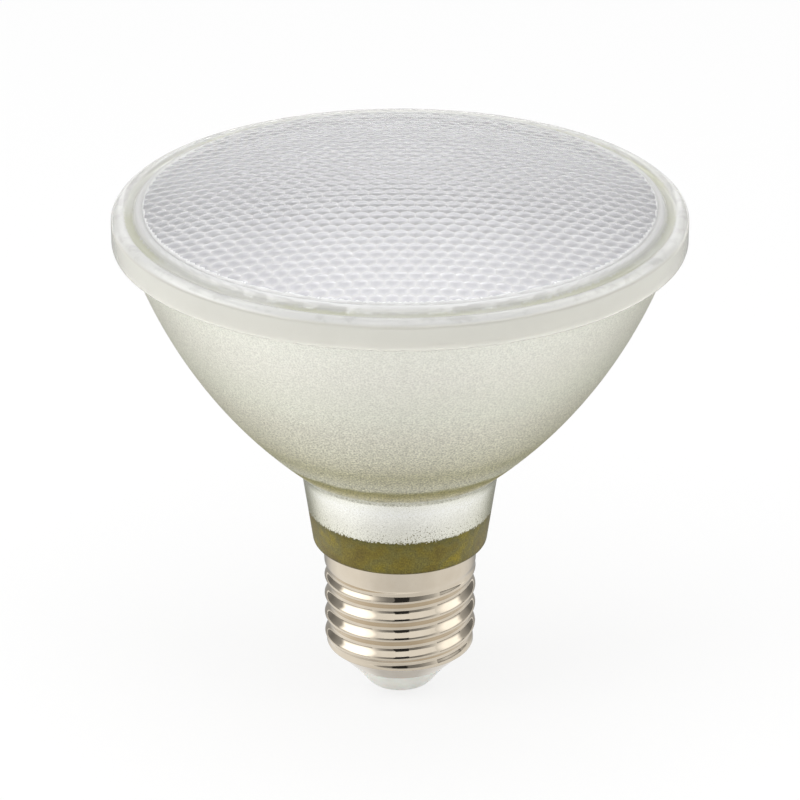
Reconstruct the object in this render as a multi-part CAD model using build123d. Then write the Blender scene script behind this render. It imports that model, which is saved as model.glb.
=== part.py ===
from build123d import *
import math
import os

os.makedirs("parts", exist_ok=True)

# Driving dimensions in millimetres. The bulb stands on its cap: the axis is Z,
# the end of the centre contact is at height 0 and the front lens is on top.

# Screw cap, E27 size
THREAD_DIAMETER = 26.3
THREAD_PITCH = 3.629
THREAD_DEPTH = 1.0
THREAD_VALLEY_WIDTH = 0.64
THREAD_CREST_FLAT = 0.5
THREAD_BEVEL_WIDTH = 0.42
THREAD_BEVEL_DROP = 0.23
THREAD_START_ANGLE = 72.0
THREAD_START_LIFT = 0.34
THREAD_LEAD_IN = 1.6
THREAD_RUN_IN = 1.1
CREST_RELIEF = 0.05
SHELL_SHEET = 0.35
SHELL_CONE_WIDTH = 3.5
SHELL_SHOULDER_RISE = 0.6
SHELL_SHOULDER_HEIGHT = 0.9
SHELL_EXPOSED_HEIGHT = 22.95
COLLAR_HEIGHT = 4.0
SHELL_INSERT_DEPTH = 5.0
SHELL_INSERT_STEP = 0.25

# Cap insulator and centre contact
INSULATOR_CONE_HEIGHT = 4.8
INSULATOR_PLUG_LAND = 1.05
INSULATOR_MARGIN = 2.4
INSULATOR_END_CHAMFER = 0.6
CONTACT_PROUD = 0.9
CONTACT_SHANK_RADIUS = 1.4
CONTACT_HEAD_OVERHANG = 1.4
CONTACT_CHAMFER = 0.35
CONTACT_SHANK_RECESS = 3.1

# Pressed glass reflector, and the cement in its neck
CEMENT_THICKNESS = 0.65
CEMENT_HEIGHT = 5.5
NECK_WALL = 1.4
NECK_FLARE = 2.05
NECK_HEIGHT = 14.1
NECK_END_CHAMFER = 0.7
NECK_FILLET = 2.0
BOWL_ARC_RADIUS = 88.7
BOWL_HEIGHT = 42.05
BOWL_WALL = 2.6
FLANGE_WIDTH = 0.8
FLANGE_HEIGHT = 3.0
FLANGE_CHAMFER = 0.4

# Front lens, and the glue under its border
LENS_RADIUS = 47.95
LENS_BORDER = 5.3
LENS_DOME_RISE = 4.45
LENS_WALL = 2.5
SKIRT_WALL = 1.4
SKIRT_CLEARANCE = 0.25
SKIRT_LIP = 0.1
SKIRT_CHAMFER = 0.4
SHOULDER_DROP = 1.0
SHOULDER_FILLET = 1.3
BEAD_WIDTH = 1.5
BEAD_HEIGHT = 0.2
BEAD_DROP = 0.5
GROOVE_WIDTH = 1.7
GROOVE_DEPTH = 0.4
GROOVE_DROP = 0.65
ADHESIVE_THICKNESS = 0.5
ADHESIVE_INSET = 0.2

# Light source in the mouth of the neck
SPREADER_OVERLAP = 2.3
SPREADER_FLANGE_THICKNESS = 1.5
SPREADER_SKIRT_DEPTH = 9.0
SPREADER_WALL = 1.2
SPREADER_CLEARANCE = 1.3
LED_BOARD_MARGIN = 3.0
LED_BOARD_THICKNESS = 1.6
LED_COUNT = 8
LED_SIZE = 3.0
LED_HEIGHT = 0.7
LED_RING_RADIUS = 7.5
SCREW_COUNT = 2
SCREW_ANGLE = 45.0
SCREW_EDGE_DISTANCE = 3.0
SCREW_RADIUS = 1.0
SCREW_HEAD_OVERHANG = 0.9
SCREW_HEAD_HEIGHT = 1.3
SCREW_END_GAP = 0.2
SCREW_CLEARANCE = 0.1

# Driver in the cap and neck
SLEEVE_CLEARANCE = 0.45
SLEEVE_WALL = 1.0
SLOT_DEPTH = 0.5
SLOT_CLEARANCE = 0.1
BOARD_EDGE_CLEARANCE = 0.2
BOARD_HEADROOM = 4.2
DRIVER_BOARD_THICKNESS = 1.2
CAPACITOR_RADIUS = 3.15
CAPACITOR_LENGTH = 12.0
INDUCTOR_RADIUS = 4.0
INDUCTOR_HEIGHT = 6.5
INDUCTOR_RIM = 1.2
WINDING_INSET = 0.6
FILM_CAPACITOR_SIZE = (10.0, 5.0, 9.0)
RECTIFIER_SIZE = (4.6, 1.5, 3.8)
RECTIFIER_CHAMFER = 0.3
CHIP_SIZE = (3.9, 1.5, 4.9)
CHIP_LEG = (0.8, 0.25, 0.4)
CHIP_LEG_SPACING = 1.27
CHIP_LEGS_A_SIDE = 4
FUSE_RADIUS = 1.7
FUSE_LENGTH = 7.0
WIRE_RADIUS = 0.6
WIRE_GAP = 0.2
WIRE_HOLE_CLEARANCE = 0.3
LED_LEAD_SPACING = 10.0
LED_LEAD_LAP = 3.3
SHELL_LEAD_LENGTH = 5.9

# Thin gap that is left where two pieces are glued or pressed together
SEAT_GAP = 0.05

# Radii of the cap, from the thread inwards
collar_radius = THREAD_DIAMETER / 2
collar_bore = collar_radius - SHELL_SHEET
insert_radius = collar_radius - SHELL_INSERT_STEP
insert_bore = insert_radius - SHELL_SHEET
crest_radius = collar_radius - CREST_RELIEF
root_radius = crest_radius - THREAD_DEPTH
shell_bore = root_radius - SHELL_SHEET
shoulder_radius = root_radius + SHELL_SHOULDER_RISE
cone_end_radius = shoulder_radius - SHELL_CONE_WIDTH
cone_end_bore = cone_end_radius - SHELL_SHEET * math.sqrt(2)
contact_head_radius = CONTACT_SHANK_RADIUS + CONTACT_HEAD_OVERHANG
insulator_end_radius = contact_head_radius + INSULATOR_MARGIN
sleeve_radius = shell_bore - SLEEVE_CLEARANCE
sleeve_bore = sleeve_radius - SLEEVE_WALL

# Radii of the glass, from the cap and from the lens
neck_end_bore = insert_radius + CEMENT_THICKNESS
neck_end_radius = neck_end_bore + NECK_WALL
neck_top_radius = neck_end_radius + NECK_FLARE
pattern_radius = LENS_RADIUS - LENS_BORDER
skirt_bore = LENS_RADIUS - SKIRT_WALL
flange_radius = skirt_bore - SKIRT_CLEARANCE
bowl_top_radius = flange_radius - FLANGE_WIDTH

# Heights, from the contact up to the lens; the cap's cone slopes at 45 degrees
shell_bottom = CONTACT_PROUD + INSULATOR_CONE_HEIGHT
shoulder_bottom = shell_bottom + SHELL_CONE_WIDTH
shoulder_top = shoulder_bottom + SHELL_SHOULDER_HEIGHT
insulator_top = shell_bottom + shell_bore - cone_end_bore + INSULATOR_PLUG_LAND
contact_shank_top = insulator_top - CONTACT_SHANK_RECESS
neck_bottom = shell_bottom + SHELL_EXPOSED_HEIGHT
collar_bottom = neck_bottom - COLLAR_HEIGHT
shell_top = neck_bottom + SHELL_INSERT_DEPTH
neck_top = neck_bottom + NECK_HEIGHT
flange_bottom = neck_top + BOWL_HEIGHT
flange_top = flange_bottom + FLANGE_HEIGHT
lens_underside = flange_top + ADHESIVE_THICKNESS
pattern_height = lens_underside + LENS_WALL
lens_top = pattern_height + LENS_DOME_RISE
skirt_bottom = flange_bottom - SKIRT_LIP


def turned(face):
    """A solid of revolution from a face whose x is the radius and y the height."""
    return revolve(Plane.XZ * face, Axis.Z)


def turned_polygon(*points):
    """A solid of revolution from the corners of a closed outline of (radius, height)."""
    return turned(make_face(Polyline(*points, close=True)))


def corner(face, radius, height):
    """The corner of a flat outline nearest to a radius and height."""
    return face.vertices().sort_by_distance((radius, height))[0]


def block(size, centre):
    """A box of a size (x, y, z) round its centre."""
    return Pos(*centre) * Box(*size)


def rod(radius, length, foot, axis=(0, 0, 1)):
    """A round bar of a length that starts at its foot and runs along an axis."""
    return Plane(origin=foot, z_dir=axis) * Cylinder(
        radius, length, align=(Align.CENTER, Align.CENTER, Align.MIN)
    )


def bowl_arc_centre():
    """Centre (radius, height) of the arc that the bowl's outer wall follows."""
    rise_r = bowl_top_radius - neck_top_radius
    chord = math.hypot(rise_r, BOWL_HEIGHT)
    reach = math.sqrt(BOWL_ARC_RADIUS**2 - chord**2 / 4)
    middle_r = (bowl_top_radius + neck_top_radius) / 2
    middle_z = neck_top + BOWL_HEIGHT / 2
    return (middle_r - reach * BOWL_HEIGHT / chord, middle_z + reach * rise_r / chord)


def bowl_height_at(radius, inset):
    """Height where the bowl's arc, moved in by an inset, reaches a radius."""
    centre_r, centre_z = bowl_arc_centre()
    return centre_z - math.sqrt((BOWL_ARC_RADIUS - inset) ** 2 - (radius - centre_r) ** 2)


def bowl_radius_at(height, inset):
    """Radius of the bowl's arc, moved in by an inset, at a height."""
    centre_r, centre_z = bowl_arc_centre()
    return centre_r + math.sqrt((BOWL_ARC_RADIUS - inset) ** 2 - (height - centre_z) ** 2)


def neck_bore_at(height):
    """Inner radius of the neck, which widens evenly up to the bowl, at a height."""
    return neck_end_bore + NECK_FLARE * (height - neck_bottom) / NECK_HEIGHT


def dome_arc(drop):
    """The lens's dome from the axis to the edge of its pattern, moved down by a drop."""
    sphere = (pattern_radius**2 + LENS_DOME_RISE**2) / (2 * LENS_DOME_RISE)
    middle_r = pattern_radius / 2
    middle_z = lens_top - sphere + math.sqrt(sphere**2 - middle_r**2)
    return ThreePointArc(
        (0, lens_top - drop),
        (middle_r, middle_z - drop),
        (pattern_radius, pattern_height - drop),
    )


def front_lens():
    """Clear pressed lens: a shallow dome with a bead and a groove round it and a skirt."""
    bead_foot = pattern_height - BEAD_DROP
    bead_outer = pattern_radius + BEAD_WIDTH
    groove_foot = bead_foot - GROOVE_DROP
    groove_outer = bead_outer + GROOVE_WIDTH
    shoulder_height = pattern_height - SHOULDER_DROP
    border = Polyline(
        (pattern_radius, pattern_height),
        (pattern_radius, bead_foot),
        (pattern_radius + BEAD_WIDTH / 2, bead_foot + BEAD_HEIGHT),
        (bead_outer, groove_foot),
        (bead_outer + GROOVE_WIDTH / 2, groove_foot - GROOVE_DEPTH),
        (groove_outer, groove_foot),
        (LENS_RADIUS, shoulder_height),
        (LENS_RADIUS, skirt_bottom),
        (skirt_bore, skirt_bottom),
        (skirt_bore, lens_underside),
        (pattern_radius, lens_underside),
    )
    axis_edge = Line((0, lens_top - LENS_WALL), (0, lens_top))
    face = make_face([dome_arc(0), *border.edges(), dome_arc(LENS_WALL), axis_edge])
    shoulder_fillet = min(SHOULDER_FILLET, (LENS_RADIUS - groove_outer) * 2 / 3)
    face = fillet(corner(face, LENS_RADIUS, shoulder_height), shoulder_fillet)
    face = chamfer(corner(face, LENS_RADIUS, skirt_bottom), SKIRT_CHAMFER)
    return turned(face)


def rim_adhesive():
    """Clear glue ring between the lens and the top face of the reflector's flange."""
    inner = bowl_radius_at(flange_top, BOWL_WALL) + ADHESIVE_INSET
    outer = flange_radius - FLANGE_CHAMFER - ADHESIVE_INSET
    return turned_polygon(
        (inner, flange_top),
        (outer, flange_top),
        (outer, lens_underside),
        (inner, lens_underside),
    )


def glass_reflector():
    """Pressed glass bowl with its neck and flange, open at both ends."""
    middle_height = neck_top + BOWL_HEIGHT / 2
    outline = [
        Line((0, neck_bottom), (neck_end_radius, neck_bottom)),
        Line((neck_end_radius, neck_bottom), (neck_top_radius, neck_top)),
        ThreePointArc(
            (neck_top_radius, neck_top),
            (bowl_radius_at(middle_height, 0), middle_height),
            (bowl_top_radius, flange_bottom),
        ),
        Line((bowl_top_radius, flange_bottom), (flange_radius, flange_bottom)),
        Line((flange_radius, flange_bottom), (flange_radius, flange_top)),
        Line((flange_radius, flange_top), (0, flange_top)),
        Line((0, flange_top), (0, neck_bottom)),
    ]
    face = make_face(outline)
    face = chamfer(corner(face, neck_end_radius, neck_bottom), min(NECK_END_CHAMFER, NECK_WALL / 2))
    face = fillet(corner(face, neck_top_radius, neck_top), NECK_FILLET)
    face = chamfer(corner(face, flange_radius, flange_top), FLANGE_CHAMFER)
    cavity_foot = bowl_height_at(0, BOWL_WALL)
    mouth_radius = bowl_radius_at(flange_top, BOWL_WALL)
    cavity = make_face(
        [
            ThreePointArc(
                (0, cavity_foot),
                (bowl_radius_at(middle_height, BOWL_WALL), middle_height),
                (mouth_radius, flange_top),
            ),
            Line((mouth_radius, flange_top), (0, flange_top)),
            Line((0, flange_top), (0, cavity_foot)),
        ]
    )
    bore_top = neck_top + 2 * BOWL_WALL
    bore = turned_polygon(
        (0, neck_bottom),
        (neck_bore_at(neck_bottom), neck_bottom),
        (neck_bore_at(bore_top), bore_top),
        (0, bore_top),
    )
    return turned(face) - (turned(cavity) + bore)


def basing_cement():
    """Cement ring that holds the cap's upper end in the glass neck."""
    top = neck_bottom + CEMENT_HEIGHT
    inner = insert_radius + SEAT_GAP
    return turned_polygon(
        (inner, neck_bottom),
        (neck_bore_at(neck_bottom) - SEAT_GAP, neck_bottom),
        (neck_bore_at(top) - SEAT_GAP, top),
        (inner, top),
    )


def thread_ridge():
    """The rolled E27 ridge along a right-hand helix: a bevelled crest between two sloping flanks."""
    crest_half = THREAD_CREST_FLAT / 2
    bevel_half = crest_half + THREAD_BEVEL_WIDTH
    bevel_radius = crest_radius - THREAD_BEVEL_DROP
    foot_half = (THREAD_PITCH - THREAD_VALLEY_WIDTH) / 2
    # The flanks go on into the barrel's wall, so that the ridge and the barrel join
    buried_radius = root_radius - SHELL_SHEET / 2
    spread = (foot_half - bevel_half) / (bevel_radius - root_radius)
    buried_half = foot_half + spread * (root_radius - buried_radius)
    upper = [(crest_radius, crest_half), (bevel_radius, bevel_half), (buried_radius, buried_half)]
    lower = [(radius, -height) for radius, height in reversed(upper)]
    section = make_face(Polyline(*upper, *lower, close=True))
    start = shoulder_bottom + THREAD_START_LIFT
    helix = Helix(THREAD_PITCH, collar_bottom + THREAD_RUN_IN - start, crest_radius)
    ridge = sweep(Plane.XZ * section, path=helix, is_frenet=True)
    return Pos(0, 0, start) * Rot(0, 0, THREAD_START_ANGLE) * ridge


def screw_shell():
    """Thin rolled metal shell: crimped cone, threaded barrel, plain collar and upper end."""
    barrel = turned_polygon(
        (0, shoulder_bottom),
        (root_radius, shoulder_bottom),
        (root_radius, collar_bottom),
        (0, collar_bottom),
    )
    collar = turned_polygon(
        (0, collar_bottom - collar_radius + root_radius),
        (root_radius, collar_bottom - collar_radius + root_radius),
        (collar_radius, collar_bottom),
        (collar_radius, neck_bottom),
        (insert_radius, neck_bottom),
        (insert_radius, shell_top),
        (0, shell_top),
    )
    cone = turned_polygon(
        (0, shell_bottom),
        (cone_end_radius, shell_bottom),
        (shoulder_radius, shoulder_bottom),
        (shoulder_radius, shoulder_top),
        (root_radius, shoulder_top + SHELL_SHOULDER_RISE),
        (0, shoulder_top + SHELL_SHOULDER_RISE),
    )
    lead_in = turned_polygon(
        (0, shoulder_bottom),
        (shoulder_radius, shoulder_bottom),
        (collar_radius, shoulder_bottom + THREAD_LEAD_IN),
        (collar_radius, neck_bottom),
        (0, neck_bottom),
    )
    inside = turned_polygon(
        (0, shell_bottom),
        (cone_end_bore, shell_bottom),
        (shell_bore, shell_bottom + shell_bore - cone_end_bore),
        (shell_bore, collar_bottom),
        (collar_bore, collar_bottom + collar_bore - shell_bore),
        (collar_bore, neck_bottom - SHELL_SHEET),
        (insert_bore, neck_bottom - SHELL_SHEET),
        (insert_bore, shell_top),
        (0, shell_top),
    )
    threaded = barrel + (thread_ridge() & lead_in)
    return threaded + collar + cone - inside


def cap_insulator():
    """White moulded plug that closes the cap and keeps the centre contact off the shell."""
    plug_radius = shell_bore - SEAT_GAP
    plug_foot = cone_end_bore - SEAT_GAP
    outline = make_face(
        Polyline(
            (0, CONTACT_PROUD),
            (insulator_end_radius, CONTACT_PROUD),
            (cone_end_radius, shell_bottom),
            (plug_foot, shell_bottom),
            (plug_radius, shell_bottom + plug_radius - plug_foot),
            (plug_radius, insulator_top),
            (0, insulator_top),
            close=True,
        )
    )
    outline = chamfer(corner(outline, insulator_end_radius, CONTACT_PROUD), INSULATOR_END_CHAMFER)
    return turned(outline) - rod(CONTACT_SHANK_RADIUS + SEAT_GAP, insulator_top, (0, 0, 0))


def centre_contact():
    """Brass rivet with a flat round head under the insulator."""
    head = rod(contact_head_radius, CONTACT_PROUD, (0, 0, 0))
    head = chamfer(head.edges().sort_by(Axis.Z)[0], CONTACT_CHAMFER)
    return head + rod(CONTACT_SHANK_RADIUS, contact_shank_top - CONTACT_PROUD, (0, 0, CONTACT_PROUD))


# The light source stands in the mouth of the neck on the bowl's inner wall
spreader_flange_radius = neck_bore_at(neck_top) + SPREADER_OVERLAP
spreader_skirt_bore = sleeve_radius + SPREADER_CLEARANCE
flange_seat = bowl_height_at(spreader_flange_radius, BOWL_WALL) + SEAT_GAP
spreader_top = flange_seat + SPREADER_FLANGE_THICKNESS
led_board_top = spreader_top + LED_BOARD_THICKNESS
led_board_radius = spreader_flange_radius - LED_BOARD_MARGIN

# The driver board stands upright in the sleeve, over the lead to the shell
board_face = DRIVER_BOARD_THICKNESS / 2
board_bottom = insulator_top + 2 * (WIRE_RADIUS + WIRE_GAP)
board_top = flange_seat - BOARD_HEADROOM
lead_y = -board_face - SEAT_GAP - WIRE_RADIUS


def lead_holes(bottom, top):
    """The two holes that the light source's leads pass through, from one height to another."""
    radius = WIRE_RADIUS + WIRE_HOLE_CLEARANCE
    return [rod(radius, top - bottom, (side * LED_LEAD_SPACING / 2, lead_y, bottom)) for side in (-1, 1)]


def screw_places():
    """Centres of the light board's screws."""
    ring_radius = led_board_radius - SCREW_EDGE_DISTANCE
    angles = [math.radians(SCREW_ANGLE + 360 * index / SCREW_COUNT) for index in range(SCREW_COUNT)]
    return [(ring_radius * math.cos(angle), ring_radius * math.sin(angle)) for angle in angles]


def screw_holes(bottom, top):
    """The holes that the light board's screws pass through, from one height to another."""
    radius = SCREW_RADIUS + SCREW_CLEARANCE
    return [rod(radius, top - bottom, (x, y, bottom)) for x, y in screw_places()]


def heat_spreader():
    """Aluminium cap with a flange on the bowl and a skirt down into the neck."""
    skirt_end = flange_seat - SPREADER_SKIRT_DEPTH
    skirt_radius = spreader_skirt_bore + SPREADER_WALL
    cup = turned_polygon(
        (0, flange_seat),
        (spreader_skirt_bore, flange_seat),
        (spreader_skirt_bore, skirt_end),
        (skirt_radius, skirt_end),
        (skirt_radius, flange_seat),
        (spreader_flange_radius, flange_seat),
        (spreader_flange_radius, spreader_top),
        (0, spreader_top),
    )
    return cup - lead_holes(flange_seat, spreader_top) - screw_holes(flange_seat, spreader_top)


def led_board():
    """Round metal-core board that lies on the heat spreader."""
    board = rod(led_board_radius, LED_BOARD_THICKNESS, (0, 0, spreader_top))
    return board - lead_holes(spreader_top, led_board_top) - screw_holes(spreader_top, led_board_top)


def led_chips():
    """Surface-mounted light-emitting packages in a ring on the board, with one in the middle."""
    size = (LED_SIZE, LED_SIZE, LED_HEIGHT)
    centre_z = led_board_top + LED_HEIGHT / 2
    chips = [block(size, (0, 0, centre_z))]
    for index in range(LED_COUNT):
        turn = Rot(0, 0, 360 * (index + 0.5) / LED_COUNT)
        chips.append(turn * block(size, (LED_RING_RADIUS, 0, centre_z)))
    return Compound(children=chips)


def board_screws():
    """Pan-head screws that hold the light board down on the spreader."""
    shank_end = flange_seat + SCREW_END_GAP
    screws = []
    for x, y in screw_places():
        shank = rod(SCREW_RADIUS, led_board_top - shank_end, (x, y, shank_end))
        head = rod(SCREW_RADIUS + SCREW_HEAD_OVERHANG, SCREW_HEAD_HEIGHT, (x, y, led_board_top))
        screws.append(shank + head)
    return Compound(children=screws)


def driver_sleeve():
    """Plastic tube between the insulator and the spreader that keeps the driver off the shell."""
    length = flange_seat - insulator_top
    tube = rod(sleeve_radius, length, (0, 0, insulator_top))
    bore = rod(sleeve_bore, length, (0, 0, insulator_top))
    slot_size = (
        2 * (sleeve_bore + SLOT_DEPTH),
        DRIVER_BOARD_THICKNESS + 2 * SLOT_CLEARANCE,
        flange_seat - board_bottom,
    )
    slots = block(slot_size, (0, 0, (flange_seat + board_bottom) / 2))
    notch_size = (sleeve_radius, 2 * (WIRE_RADIUS + WIRE_HOLE_CLEARANCE), board_bottom - insulator_top)
    notch = block(notch_size, (-sleeve_radius, 0, (board_bottom + insulator_top) / 2))
    return tube - bore - slots - notch


def driver_board():
    """Upright circuit board that slides into the two slots of the sleeve."""
    width = 2 * (sleeve_bore + SLOT_DEPTH - BOARD_EDGE_CLEARANCE)
    size = (width, DRIVER_BOARD_THICKNESS, board_top - board_bottom)
    return block(size, (0, 0, (board_top + board_bottom) / 2))


def spread_up_board(lengths):
    """Middle heights of parts of these lengths, spread evenly up the driver board."""
    gap = (board_top - board_bottom - sum(lengths)) / (len(lengths) + 1)
    middles = []
    foot = board_bottom
    for length in lengths:
        middles.append(foot + gap + length / 2)
        foot += gap + length
    return middles


front_lengths = [2 * FUSE_RADIUS, RECTIFIER_SIZE[2], FILM_CAPACITOR_SIZE[2], CHIP_SIZE[2]]
fuse_height, rectifier_height, film_capacitor_height, chip_height = spread_up_board(front_lengths)
capacitor_height, inductor_height = spread_up_board([CAPACITOR_LENGTH, 2 * INDUCTOR_RADIUS])


def smoothing_capacitor():
    """Electrolytic can that lies along the back of the board."""
    foot = (0, board_face + SEAT_GAP + CAPACITOR_RADIUS, capacitor_height - CAPACITOR_LENGTH / 2)
    return rod(CAPACITOR_RADIUS, CAPACITOR_LENGTH, foot)


def driver_inductor():
    """Drum core with its winding in the waist, standing on the back of the board."""
    winding_radius = INDUCTOR_RADIUS - WINDING_INSET
    drum = turned_polygon(
        (0, 0),
        (INDUCTOR_RADIUS, 0),
        (INDUCTOR_RADIUS, INDUCTOR_RIM),
        (winding_radius, INDUCTOR_RIM),
        (winding_radius, INDUCTOR_HEIGHT - INDUCTOR_RIM),
        (INDUCTOR_RADIUS, INDUCTOR_HEIGHT - INDUCTOR_RIM),
        (INDUCTOR_RADIUS, INDUCTOR_HEIGHT),
        (0, INDUCTOR_HEIGHT),
    )
    return Plane(origin=(0, board_face, inductor_height), z_dir=(0, 1, 0)) * drum


def on_board_front(size, height):
    """A box part on the front of the board, with its middle at a height."""
    return block(size, (0, -board_face - size[1] / 2, height))


def input_capacitor():
    """Boxed film capacitor on the front of the board."""
    return on_board_front(FILM_CAPACITOR_SIZE, film_capacitor_height)


def bridge_rectifier():
    """Moulded bridge rectifier on the front of the board."""
    body = on_board_front(RECTIFIER_SIZE, rectifier_height)
    return chamfer(body.faces().sort_by(Axis.Y)[0].edges(), RECTIFIER_CHAMFER)


def driver_ic():
    """Control chip with a row of legs on each side, on the front of the board."""
    chip = on_board_front(CHIP_SIZE, chip_height)
    leg_x = CHIP_SIZE[0] / 2 + CHIP_LEG[0] / 2
    leg_y = -board_face - CHIP_LEG[1] / 2
    for index in range(CHIP_LEGS_A_SIDE):
        leg_z = chip_height + CHIP_LEG_SPACING * (index - (CHIP_LEGS_A_SIDE - 1) / 2)
        for side in (-1, 1):
            chip += block(CHIP_LEG, (side * leg_x, leg_y, leg_z))
    return chip


def fuse_resistor():
    """Fusible resistor across the front of the board."""
    start = (-FUSE_LENGTH / 2, -board_face - SEAT_GAP - FUSE_RADIUS, fuse_height)
    return rod(FUSE_RADIUS, FUSE_LENGTH, start, axis=(1, 0, 0))


def led_lead(side):
    """Insulated lead from the driver board's front up to the light board's top face."""
    foot = board_top - LED_LEAD_LAP
    return rod(WIRE_RADIUS, led_board_top - foot, (side * LED_LEAD_SPACING / 2, lead_y, foot))


def shell_lead():
    """Lead under the driver board's lower edge, out to the shell's inner wall."""
    start = (-shell_bore + WIRE_GAP, 0, board_bottom - WIRE_GAP - WIRE_RADIUS)
    return rod(WIRE_RADIUS, SHELL_LEAD_LENGTH, start, axis=(1, 0, 0))


def contact_lead():
    """Lead from the centre contact's shank up to the lower edge of the driver board."""
    return rod(WIRE_RADIUS, board_bottom - contact_shank_top, (0, 0, contact_shank_top))


pieces = {
    "front_lens": front_lens(),
    "rim_adhesive": rim_adhesive(),
    "glass_reflector": glass_reflector(),
    "basing_cement": basing_cement(),
    "screw_shell": screw_shell(),
    "cap_insulator": cap_insulator(),
    "centre_contact": centre_contact(),
    "heat_spreader": heat_spreader(),
    "led_board": led_board(),
    "led_chips": led_chips(),
    "board_screws": board_screws(),
    "driver_sleeve": driver_sleeve(),
    "driver_board": driver_board(),
    "smoothing_capacitor": smoothing_capacitor(),
    "driver_inductor": driver_inductor(),
    "input_capacitor": input_capacitor(),
    "bridge_rectifier": bridge_rectifier(),
    "driver_ic": driver_ic(),
    "fuse_resistor": fuse_resistor(),
    "led_lead_positive": led_lead(1),
    "led_lead_negative": led_lead(-1),
    "shell_lead": shell_lead(),
    "contact_lead": contact_lead(),
}

for name, piece in pieces.items():
    export_step(piece, f"parts/{name}.step")
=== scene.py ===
import math
import random

import bmesh
import bpy
from mathutils import Matrix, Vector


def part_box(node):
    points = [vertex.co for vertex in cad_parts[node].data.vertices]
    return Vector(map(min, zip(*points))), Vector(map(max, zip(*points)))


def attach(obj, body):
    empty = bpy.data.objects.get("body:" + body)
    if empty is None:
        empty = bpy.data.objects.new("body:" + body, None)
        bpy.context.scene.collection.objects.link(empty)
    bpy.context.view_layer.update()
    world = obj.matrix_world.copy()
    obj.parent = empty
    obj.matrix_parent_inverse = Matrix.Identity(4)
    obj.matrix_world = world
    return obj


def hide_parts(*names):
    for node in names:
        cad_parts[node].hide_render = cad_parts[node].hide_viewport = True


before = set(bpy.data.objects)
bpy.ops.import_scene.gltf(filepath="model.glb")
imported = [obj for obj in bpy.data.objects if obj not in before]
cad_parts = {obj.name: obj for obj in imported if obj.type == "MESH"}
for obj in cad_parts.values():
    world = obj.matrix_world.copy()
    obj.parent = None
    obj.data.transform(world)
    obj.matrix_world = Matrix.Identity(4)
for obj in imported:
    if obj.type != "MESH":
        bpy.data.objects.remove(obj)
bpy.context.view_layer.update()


# Centre contact: a brass rivet pressed through the end of the insulator.
# Its head is the bulb's lowest point and meets the spring in the lampholder.
# Lengths are in millimetres and tints as a screen shows them, here and below.
MM = 0.001
RIVET_HEAD_THICKNESS = 0.95
RIVET_HEAD_ROUNDING = 0.35
RIVET_SHANK_RADIUS = 1.4
DIMPLE_RADIUS = 1.1
DIMPLE_FLOOR_RADIUS = 0.66
DIMPLE_DEPTH = 0.25
DIMPLE_ROUNDING = 0.15
RIVET_STEPS = 64
RIVET_TINTS = [(0.35, (196, 168, 104)), (0.7, (150, 118, 62))]
ROUNDING_SEGMENTS = 5
MERGE_DISTANCE = 0.0005


def turned(outline, steps=96, closed=False):
    """A bmesh of an outline turned about the bulb's axis.

    Each corner of the outline is a radius, a height and a rounding.
    """
    bm = bmesh.new()
    corners = [bm.verts.new((radius * MM, 0, height * MM)) for radius, height, rounding in outline]
    pairs = list(zip(corners, corners[1:]))
    if closed:
        pairs.append((corners[-1], corners[0]))
    for pair in pairs:
        bm.edges.new(pair)
    for corner, (radius, height, rounding) in zip(corners, outline):
        if rounding:
            bmesh.ops.bevel(
                bm,
                geom=[corner],
                offset=rounding * MM,
                offset_type="OFFSET",
                segments=ROUNDING_SEGMENTS,
                profile=0.5,
                affect="VERTICES",
                material=-1,
            )
    bmesh.ops.spin(
        bm,
        geom=bm.verts[:] + bm.edges[:],
        cent=(0, 0, 0),
        axis=(0, 0, 1),
        angle=math.tau,
        steps=steps,
        use_merge=True,
    )
    bmesh.ops.remove_doubles(bm, verts=bm.verts[:], dist=MERGE_DISTANCE * MM)
    bmesh.ops.recalc_face_normals(bm, faces=bm.faces[:])
    return bm


def placed(bm, name, *finishes):
    """Puts a bmesh into the scene as an object with its finishes."""
    mesh = bpy.data.meshes.new(name)
    bm.to_mesh(mesh)
    bm.free()
    for finish in finishes:
        mesh.materials.append(finish)
    piece = bpy.data.objects.new(name, mesh)
    bpy.context.collection.objects.link(piece)
    return piece


def make_piece(bm, name, node, slot, *finishes):
    """Turns a bmesh into a smooth-shaded piece that stands for a node of the frame."""
    for face in bm.faces:
        face.smooth = True
    piece = placed(bm, name, *finishes)
    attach(piece, "root")
    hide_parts(node)


def tint(red, green, blue):
    """A colour as a screen shows it, 0 to 255, in the linear light that a shader takes."""
    def linear(value):
        share = value / 255
        return share / 12.92 if share <= 0.04045 else ((share + 0.055) / 1.055) ** 2.4
    return (linear(red), linear(green), linear(blue), 1.0)


def new_finish(name, values):
    """A new material, its node tree, its surface shader and the object's coordinates."""
    finish = bpy.data.materials.new(name)
    finish.use_nodes = True
    tree = finish.node_tree
    shader = tree.nodes["Principled BSDF"]
    for socket, value in values.items():
        shader.inputs[socket].default_value = value
    place = tree.nodes.new("ShaderNodeTexCoord").outputs["Object"]
    return finish, tree, shader, place


def grain(tree, place, size, detail=2.0):
    """Noise with lumps of about that size."""
    noise = tree.nodes.new("ShaderNodeTexNoise")
    noise.inputs["Scale"].default_value = 1 / (size * MM)
    noise.inputs["Detail"].default_value = detail
    tree.links.new(place, noise.inputs["Vector"])
    return noise.outputs["Fac"]


def ramp(tree, factor, points):
    """A ramp through points, each a place on it and a colour in linear light."""
    node = tree.nodes.new("ShaderNodeValToRGB")
    elements = node.color_ramp.elements
    while len(elements) < len(points):
        elements.new(1.0)
    for element, (position, colour) in zip(elements, points):
        element.position = position
        element.color = colour
    tree.links.new(factor, node.inputs["Fac"])
    return node.outputs["Color"]


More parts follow.
